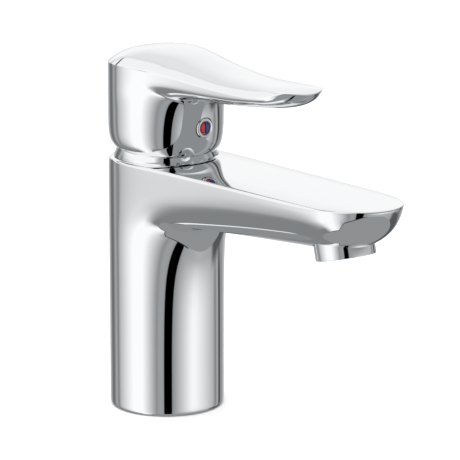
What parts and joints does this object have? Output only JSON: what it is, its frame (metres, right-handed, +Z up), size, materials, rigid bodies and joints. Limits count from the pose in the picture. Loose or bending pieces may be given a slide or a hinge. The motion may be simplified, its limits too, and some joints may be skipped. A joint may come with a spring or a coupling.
{
  "type": "single-lever basin mixer faucet",
  "caption": "Deck-mounted single-lever basin mixer: round column, flat-topped spout with rounded nose, leaning aerator, and a domed lever handle over a ceramic cartridge.",
  "frame": {"origin": "centre of the base on the deck plane", "axes": "+Z up, spout and lever along -Y, +X to the right seen from the front"},
  "size_m": [0.0488, 0.1566, 0.1527],
  "materials": {
    "chrome": "polished chrome plate",
    "steel": "bright steel",
    "brass": "machined",
    "rubber": "matte",
    "cartridge_plastic": "moulded",
    "slider_plastic": "moulded",
    "ceramic": "lapped",
    "index_ring": "polished",
    "index_red": "gloss",
    "index_blue": "gloss"
  },
  "bodies": {
    "fixture": {"body": "chrome", "base_seal": "rubber", "dome_ring": "chrome", "glide_ring": "slider_plastic", "cartridge_nut": "brass", "cartridge_housing": "cartridge_plastic", "cartridge_foot": "cartridge_plastic", "hot_inlet_seal": "rubber", "cold_inlet_seal": "rubber", "outlet_seal": "rubber", "housing_o_ring": "rubber", "fixed_disc": "ceramic", "aerator_housing": "chrome", "aerator_insert": "cartridge_plastic", "flow_regulator": "rubber", "aerator_screen": "steel", "aerator_seal": "rubber"},
    "head": {"rotor": "cartridge_plastic", "rotor_o_ring": "rubber", "temperature_stop": "slider_plastic", "pivot_pin": "steel"},
    "slider": {"moving_disc": "ceramic", "disc_carrier": "slider_plastic"},
    "lever": {"spindle": "steel", "handle": "chrome", "grub_screw": "steel", "index_plug": "index_ring", "index_hot": "index_red", "index_cold": "index_blue"}
  },
  "joints": [
    {"name": "temperature_turn", "type": "hinge", "parent": "fixture", "child": "head", "pos_m": [0, 0, 0.0996], "axis": [0, 0, 1], "range_deg": [-50, 50]},
    {"name": "lever_lift", "type": "hinge", "parent": "head", "child": "lever", "pos_m": [0, 0, 0.0996], "axis": [-1, 0, 0], "range_deg": [0, 13]},
    {"name": "disc_slide", "type": "slide", "parent": "head", "child": "slider", "axis": [0, -1, 0], "range_m": [0, 0.0034]}
  ],
  "couplings": [
    {"joint": "disc_slide", "follows": "lever_lift", "m_per_rad": 0.014}
  ]
}
